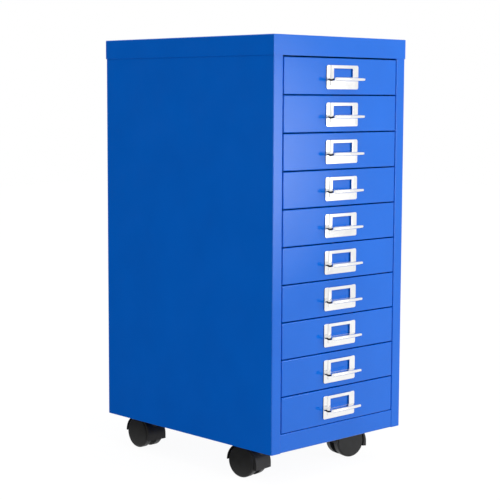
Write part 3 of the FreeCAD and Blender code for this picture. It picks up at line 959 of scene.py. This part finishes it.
lip_carrier = bpy.data.objects.new("lip_carrier", bpy.data.meshes.new("lip_carrier"))
scene.collection.objects.link(lip_carrier)
lip_modifier = lip_carrier.modifiers.new("lip", "NODES")
lip_modifier.node_group = lip_group
set_inputs(
    lip_modifier, Width=2 * half_lip - LIP_BEAD, Reach=face_y - tip_y, Sheet=LIP_SHEET, Bead=LIP_BEAD,
    Dip=LIP_DIP, Corner=LIP_CORNER, Material=chrome,
)
lip_mesh = solid_mesh(lip_carrier, "lip")
print("lip:", len(lip_mesh.polygons), "faces")

# %% [markdown]
# The pulls
#
# The plate and its raised pocket are a softened copy of the solid, cut off level with the face of the pocket.
# The lip is put in front of them, and both become one mesh, because a pull is one pressing. The cut ends of
# the lip and the rim of the plate are then given painted shade, a dark finish. They are found by where they
# are and by which way they face: sideways.

# %% Pulls
PULL_EDGE_ROUND = 0.2 * MM
PULL_EDGE_SEGMENTS = 3
SIDEWAYS = 0.9                  # a face whose normal leans this far along x faces sideways


def make_plate(number):
    """The mesh of a softened plate and pocket, cut off level with the pocket's face."""
    work = clean_copy(f"drawer_pull_{number}", join_flat=False)
    bmesh.ops.bisect_plane(
        work, geom=work.verts[:] + work.edges[:] + work.faces[:], dist=WELD_DISTANCE,
        plane_co=(0, pocket_y, 0), plane_no=(0, -1, 0), clear_outer=True,
    )
    weigh_edges(work)
    plate = make_piece(work, f"plate_{number}", chrome)
    round_edges(plate, PULL_EDGE_ROUND, PULL_EDGE_SEGMENTS)
    return solid_mesh(plate, f"plate_{number}")


def place_lip(node):
    """A copy of the lip's mesh at the height of the tip of a pull."""
    at_tip = [point.z for point in pull_points(node) if point.y < tip_y + TIP_DEPTH]
    lip = lip_mesh.copy()
    lip.transform(Matrix.Translation((0, face_y, (min(at_tip) + max(at_tip)) / 2)))
    return lip


def paint_edge_shade(piece, rim_x):
    """Painted shade on the sideways ends of the lip and on the rim of the plate."""
    piece.data.materials.append(painted_edge_shade)
    shade_index = len(piece.data.materials) - 1
    for face in piece.data.polygons:
        on_lip = tip_y + LIP_BEAD < face.center.y < pocket_y
        if abs(face.normal.x) > SIDEWAYS and (on_lip or abs(face.center.x) > rim_x):
            face.material_index = shade_index


def make_pull(number):
    """One pull: the softened plate and pocket with a new lip, in one mesh."""
    node = f"drawer_pull_{number}"
    pressing = bmesh.new()
    for mesh in (make_plate(number), place_lip(node)):
        pressing.from_mesh(mesh)
        bpy.data.meshes.remove(mesh)
    piece = make_piece(pressing, f"pull_{number}", chrome)
    # painted shade on the sideways edges of the pull
    paint_edge_shade(piece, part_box(node)[1].x - PULL_EDGE_ROUND / 2)
    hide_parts(node)
    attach(piece, f"drawer_{number}")
    return piece


pulls = [make_pull(number) for number in DRAWERS]
print("pulls:", len(pulls), "of", len(pulls[0].data.polygons), "faces each")

# %% [markdown]
# Hoods and wheels
#
# Both are mouldings. A hood's rims are only as wide as its wall, so its rounds are small. The outer rim of a
# wheel is a wide round that blends the smooth disc into the tread. Which edges those are is a question of
# place: they lie near the wheel's radius, on the side away from the caster's other wheel.

# %% Hoods and wheels
HOOD_ROUND = 0.7 * MM
HOOD_SEGMENTS = 3
WHEEL_ROUND = 3.0 * MM
WHEEL_SEGMENTS = 6
INNER_ROUND = 0.8 * MM
RIM_SHARE = 0.9                 # an edge beyond this share of the radius is on a rim


def soften_hood(name):
    """A hood with small rounds."""
    return softened(
        f"{name}_hood", f"{name}_cover", hood_plastic, f"{name}_caster",
        HOOD_ROUND, HOOD_SEGMENTS,
    )


def soften_wheel(name, side, other):
    """A wheel with a wide round where its disc meets its tread, and a small one on its inner side."""
    low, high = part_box(f"{name}_wheel_{side}")
    far_low, far_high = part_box(f"{name}_wheel_{other}")
    middle = (low + high) / 2
    outwards = (middle - (far_low + far_high) / 2).normalized()
    radius = (high.z - low.z) / 2

    def rim(place):
        from_middle = place - middle
        sideways = from_middle.dot(outwards)
        at_rim = (from_middle - sideways * outwards).length > RIM_SHARE * radius
        return 1.0 if at_rim and sideways > 0 else INNER_ROUND / WHEEL_ROUND

    return softened(
        f"{name}_wheel_{side}", f"{name}_disc_{side}", wheel_plastic, f"{name}_wheel_{side}",
        WHEEL_ROUND, WHEEL_SEGMENTS, round_at=rim,
    )


for name in CASTERS:
    mouldings = [soften_hood(name), soften_wheel(name, "a", "b"), soften_wheel(name, "b", "a")]
    print(name, "caster:", [len(piece.data.polygons) for piece in mouldings], "faces")
